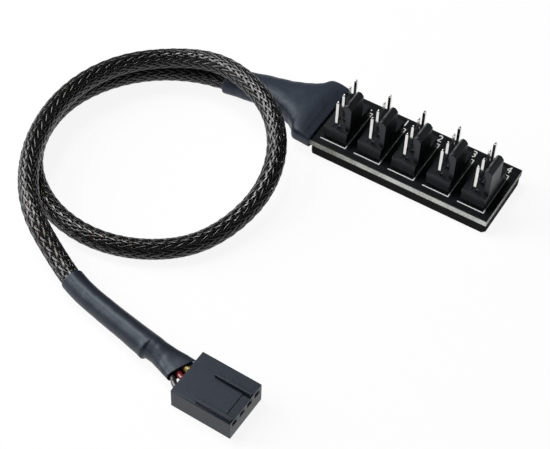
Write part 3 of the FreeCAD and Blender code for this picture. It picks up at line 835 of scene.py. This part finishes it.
def foam_block():
    """The foam pad, with the soft edges and the uneven cut sides that foam has."""
    piece = from_solid("foam_pad", "foam_block")
    add(piece, "even_faces", "REMESH", mode="VOXEL", voxel_size=FOAM_GRID * MM)
    apply_all(piece)
    for vertex in piece.data.vertices:
        side = Vector((vertex.normal.x, vertex.normal.y, 0))
        height = uneven(vertex.co, coarse=700, fine=2100, share=0.6)
        vertex.co -= side * (FOAM_DIP * MM * (0.5 + height))
    smooth(piece, 50)
    return settle(piece, "foam", foam, "foam_pad")


# The board's white legend: a frame beside each header, and the header's number. Places are counted from the
# middle of the header's row of posts.

LEGEND_LINE = 0.24
LEGEND_RIGHT = 3.49
LEGEND_FRONT = -5.92
LEGEND_LEFT = -2.66
LEGEND_BACK = 6.17
LEGEND_TICKS = ((-4.8, 0.3), (1.33, 0.4))
LEGEND_HOOK = 0.5
LEGEND_THICK = 0.03
NUMERAL_RIGHT = 2.76
NUMERAL_BACK = 7.75
NUMERAL_SIZE = 2.7


def pull_edges(piece, chosen, move):
    """Extrude the edges that are chosen by their middle and direction, by a move in millimetres."""
    take(piece)
    bpy.ops.object.mode_set(mode="EDIT")
    bpy.ops.mesh.select_mode(type="EDGE")
    bpy.ops.mesh.select_all(action="DESELECT")
    bpy.ops.object.mode_set(mode="OBJECT")
    points = piece.data.vertices
    for edge in piece.data.edges:
        a, b = (points[i].co / MM for i in edge.vertices)
        edge.select = chosen((a + b) / 2, b - a)
    bpy.ops.object.mode_set(mode="EDIT")
    bpy.ops.mesh.extrude_edges_move(TRANSFORM_OT_translate={"value": Vector(move) * MM})
    bpy.ops.object.mode_set(mode="OBJECT")


def legend_frame():
    """The printed frame of the first header: its front line, its right line with two ticks, and a hook."""
    half = LEGEND_LINE / 2
    x, y = FIRST_POST.x + LEGEND_RIGHT, ROW_Y + LEGEND_FRONT
    left_side = x - half
    deselect()
    bpy.ops.mesh.primitive_plane_add(size=LEGEND_LINE * MM, location=Vector((x, y, BOARD_TOP)) * MM)
    piece = bpy.context.active_object
    piece.name = "legend_frame"
    bpy.ops.object.transform_apply(location=True, rotation=True, scale=True)
    pull_edges(piece, lambda m, d: m.x < left_side + SAME, (LEGEND_LEFT - LEGEND_RIGHT + half, 0, 0))
    marks = LEGEND_TICKS + ((LEGEND_BACK, LEGEND_HOOK),)
    at = LEGEND_FRONT + half
    for mark, _ in marks:
        for stop in (mark - half, mark + half):
            end = ROW_Y + at
            pull_edges(piece, lambda m, d: abs(m.y - end) < SAME < m.x - left_side, (0, stop - at, 0))
            at = stop
    for mark, length in marks:
        tick = Vector((left_side, ROW_Y + mark))
        pull_edges(piece, lambda m, d: (m.xy - tick).length < SAME and abs(d.x) < SAME, (-length, 0, 0))
    outward(piece)
    add(piece, "ink_thickness", "SOLIDIFY", thickness=LEGEND_THICK * MM, offset=1)
    apply_all(piece)
    return piece


def numeral(text, x, y):
    """Text printed on the board, with its middle at a place."""
    deselect()
    bpy.ops.object.text_add()
    piece = bpy.context.active_object
    piece.data.body = text
    piece.data.size = NUMERAL_SIZE * MM
    piece.data.extrude = LEGEND_THICK / 2 * MM
    piece.data.align_x = "CENTER"
    piece.data.align_y = "CENTER"
    bpy.ops.object.convert(target="MESH")
    piece = bpy.context.active_object
    piece.location = Vector((x, y, BOARD_TOP + LEGEND_THICK / 2)) * MM
    bpy.ops.object.transform_apply(location=True, rotation=True, scale=True)
    return piece


def joined(name, parts):
    deselect()
    for part in parts:
        part.select_set(True)
    bpy.context.view_layer.objects.active = parts[0]
    bpy.ops.object.join()
    piece = bpy.context.active_object
    piece.name = name
    return piece


# Making the object

set_camera()
braid_left = settle(braid("braid_left", 1), "sleeve", yarn, "cable_sleeve")
braid_right = settle(braid("braid_right", -1), "sleeve", yarn)
wires = [wire(way) for way in range(WAYS)]
boot = board_boot()
plug_cover = plug_tube()
plug = settle(plug_body(), "plug_plastic", plug_nylon, "plug_housing")
foam_block()

base_shape = softened(from_solid("header_1_housing", "header_base"), MOULDED_EDGE)
post_shape = softened(from_solid("header_1_pin_1", "header_post"), POST_EDGE, segments=1)
frame_shape = legend_frame()
for h in range(HEADERS):
    along_board = HEADER_PITCH * h
    base = copied(base_shape, f"header_{h + 1}_base", (along_board, 0, 0))
    settle(base, "header_plastic", header_nylon, f"header_{h + 1}_housing")
    for way in range(WAYS):
        post = copied(post_shape, f"header_{h + 1}_post_{way + 1}", (along_board, PIN_PITCH * way, 0))
        settle(post, "tinned_pin", tin, f"header_{h + 1}_pin_{way + 1}")
    printed = copied(frame_shape, "legend", (along_board, 0, 0))
    # The first header has a dot, and the others are numbered from 1.
    mark = str(h) if h else "."
    number = numeral(mark, FIRST_POST.x + along_board + NUMERAL_RIGHT, ROW_Y + NUMERAL_BACK)
    settle(joined(f"legend_{h + 1}", [printed, number]), "board", ink)
for shape in (base_shape, post_shape, frame_shape):
    bpy.data.objects.remove(shape)

# Solids that show as they are need only a finish.
for name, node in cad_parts.items():
    if name == "circuit_board":
        material = mask_and_edge
    elif name.endswith("solder"):
        material = solder
    elif name.startswith("plug_terminal"):
        material = contact_tin
    else:
        continue
    node.data.materials.clear()
    node.data.materials.append(material)


# Floor, world and lights. Each lamp has its direction from what it lights, its distance and size in
# millimetres, and its power in watts.

FLOOR_SIZE = 12000
FLOOR_GAP = 0.04
FLOOR_GLOW = 0.90
SKY_COLOR = (0.93, 0.97, 1.0, 1)
SKY_GLOW = 0.08
LAMP_AIM = Vector((-20.0, -30.0, 0.0))
LAMPS = (
    ("top", RIGHT * -0.30 + TOWARD * -0.35 + UP, 900, 300, 4.0),
    ("side", RIGHT * -0.82 + TOWARD * -0.24 + UP * 0.50, 800, 580, 8.0),
)


def white_paper():
    """Paper that glows for the camera and in mirrored rays, so that it shows white."""
    paper = Finish("white_paper", Specular_IOR_Level=0.1)
    fibre = paper.noise(scale=300, detail=3)
    paper.paint(paper.blend(fibre, grey(0.88), grey(0.92)), paper.span(fibre, 0.85, 0.95))
    kinds = ("Camera", "Glossy", "Transmission")
    camera, glossy, clear = (paper.node("ShaderNodeLightPath", output=f"Is {kind} Ray") for kind in kinds)
    seen = paper.node("ShaderNodeClamp", None, {"Value": camera + glossy + clear})
    glow = paper.node("ShaderNodeEmission", None, {"Color": grey(1), "Strength": 1.0})
    diffuse = Socket(paper, paper.shader.outputs[0])
    mixed = paper.node("ShaderNodeMixShader", None, {0: seen * FLOOR_GLOW, 1: diffuse, 2: glow})
    paper.give(paper.tree.nodes["Material Output"], {"Surface": mixed})
    return paper.material


def studio():
    deselect()
    bpy.ops.mesh.primitive_plane_add(size=FLOOR_SIZE * MM, location=(0, 0, -FLOOR_GAP * MM))
    floor = bpy.context.active_object
    floor.name = "floor"
    floor.data.materials.append(white_paper())

    world = bpy.data.worlds.new("studio")
    scene.world = world
    world.use_nodes = True
    sky = world.node_tree.nodes["Background"]
    sky.inputs["Color"].default_value = SKY_COLOR
    sky.inputs["Strength"].default_value = SKY_GLOW

    for name, direction, distance, size, power in LAMPS:
        lamp = bpy.data.lights.new(name, "AREA")
        lamp.size = size * MM
        lamp.energy = power
        holder = bpy.data.objects.new(name, lamp)
        holder.location = (LAMP_AIM + direction.normalized() * distance) * MM
        holder.rotation_euler = direction.to_track_quat("Z", "Y").to_euler()
        scene.collection.objects.link(holder)
    scene.view_settings.view_transform = "Standard"


studio()
